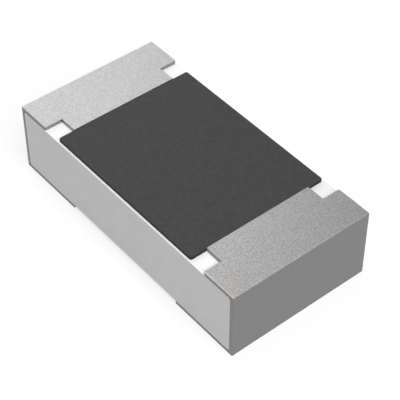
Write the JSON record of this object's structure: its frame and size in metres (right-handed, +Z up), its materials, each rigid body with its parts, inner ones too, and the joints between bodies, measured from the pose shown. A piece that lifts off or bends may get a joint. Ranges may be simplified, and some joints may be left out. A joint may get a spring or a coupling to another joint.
{
  "type": "smd chip resistor",
  "caption": "Thick-film chip resistor: white ceramic block with a dark protective coat on top and matte tin terminals wrapped round both ends.",
  "frame": {"origin": "middle of the block, halfway between its ends, its sides, its top and its underside", "axes": "+X along the chip from one terminal to the other, +Y across it, +Z up out of the coated face"},
  "size_m": [0.0016, 0.0008, 0.0004],
  "materials": {
    "alumina": "matte white alumina",
    "resistive_film": "dark fired thick film",
    "passivation_glass": "opaque fired glass",
    "dark_overcoat": "matte charcoal coat",
    "silver_electrode": "fired silver print",
    "nickel_plating": "plated nickel",
    "tin_plating": "matte, finely grained tin"
  },
  "bodies": {
    "root": {"bottom_electrode_left": "silver_electrode", "bottom_electrode_right": "silver_electrode", "ceramic_substrate": "alumina", "end_electrode_left": "silver_electrode", "end_electrode_right": "silver_electrode", "glass_passivation": "passivation_glass", "nickel_barrier_left": "nickel_plating", "nickel_barrier_right": "nickel_plating", "overcoat": "dark_overcoat", "resistive_element": "resistive_film", "tin_termination_left": "tin_plating", "tin_termination_right": "tin_plating", "top_electrode_left": "silver_electrode", "top_electrode_right": "silver_electrode"}
  },
  "joints": []
}
